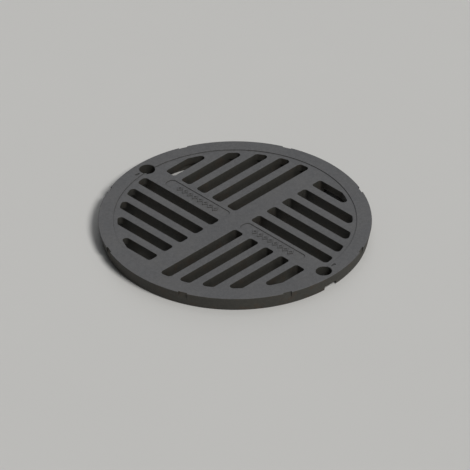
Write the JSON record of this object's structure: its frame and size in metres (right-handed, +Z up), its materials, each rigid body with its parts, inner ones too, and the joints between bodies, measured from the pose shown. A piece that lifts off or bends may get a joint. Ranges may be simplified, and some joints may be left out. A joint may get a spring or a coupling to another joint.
{
  "type": "manhole cover",
  "caption": "Round ventilated cast-iron manhole cover with a pinwheel of long slots, two key holes and a quarter-turn lock under each key hole.",
  "frame": {"origin": "centre of the cover on its seat plane", "axes": "+Z up, the key holes lie on the Y axis, the slots run along X and Y"},
  "size_m": [0.3996, 0.3996, 0.023],
  "materials": {
    "cast_iron": "fine sand-cast surface, dark grey",
    "tongue_steel": "galvanised, dull",
    "spring_steel": "oiled spring steel",
    "zinc_plate": "zinc plated, dull",
    "screw_steel": "stainless steel, satin"
  },
  "bodies": {
    "cover": {"cover_casting": "cast_iron", "disc_spring_a": "spring_steel", "disc_spring_b": "spring_steel", "retaining_plate_a": "zinc_plate", "retaining_plate_b": "zinc_plate", "plate_screws_a": "screw_steel", "plate_screws_b": "screw_steel"},
    "lock_a": {"lock_tongue_a": "tongue_steel"},
    "lock_b": {"lock_tongue_b": "tongue_steel"}
  },
  "joints": [
    {"name": "lock_a_turn", "type": "hinge", "parent": "cover", "child": "lock_a", "pos_m": [0, 0.182, 0.0051], "axis": [0, 0, -1], "range_deg": [0, 90]},
    {"name": "lock_b_turn", "type": "hinge", "parent": "cover", "child": "lock_b", "pos_m": [0, -0.182, 0.0051], "axis": [0, 0, -1], "range_deg": [0, 90]}
  ]
}
